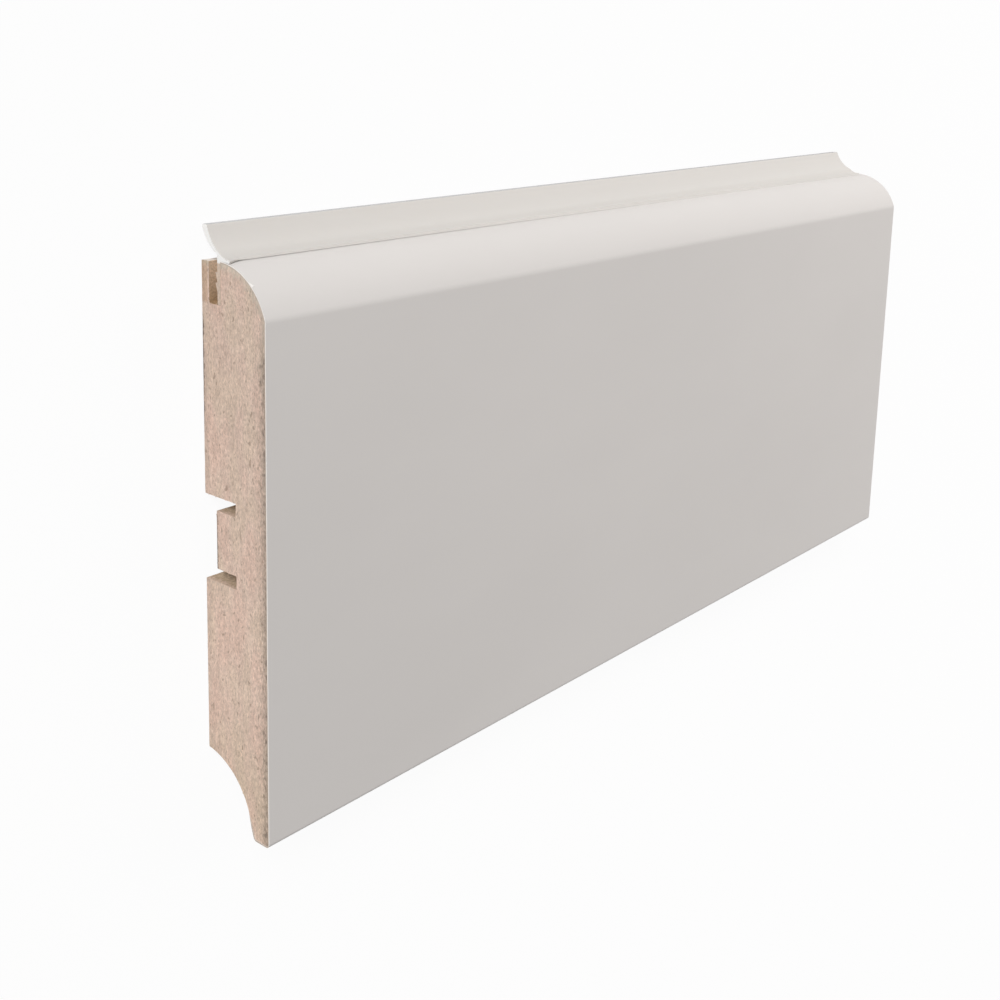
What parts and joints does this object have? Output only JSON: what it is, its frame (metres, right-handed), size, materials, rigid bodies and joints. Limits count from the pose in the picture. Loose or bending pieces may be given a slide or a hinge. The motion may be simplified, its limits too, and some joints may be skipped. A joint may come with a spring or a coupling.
{
  "type": "skirting board length",
  "caption": "Film-wrapped fibreboard skirting with rounded nose, flexible top sealing lip, rear clip slots and a cable channel hollowed behind its foot; lies on its back.",
  "frame": {"origin": "centre of the board's footprint on the floor, at the bottom of its bounding box, with the board lying on its back face", "axes": "+X along the board's length, +Y from the foot to the sealing lip, +Z out of the decorative face"},
  "size_m": [0.226, 0.1056, 0.016],
  "materials": {
    "mdf_core": "raw",
    "decor_film": "matte",
    "sealing_lip": "satin"
  },
  "bodies": {
    "root": {"mdf_core": "mdf_core", "decor_film": "decor_film", "sealing_lip": "sealing_lip"}
  },
  "joints": []
}
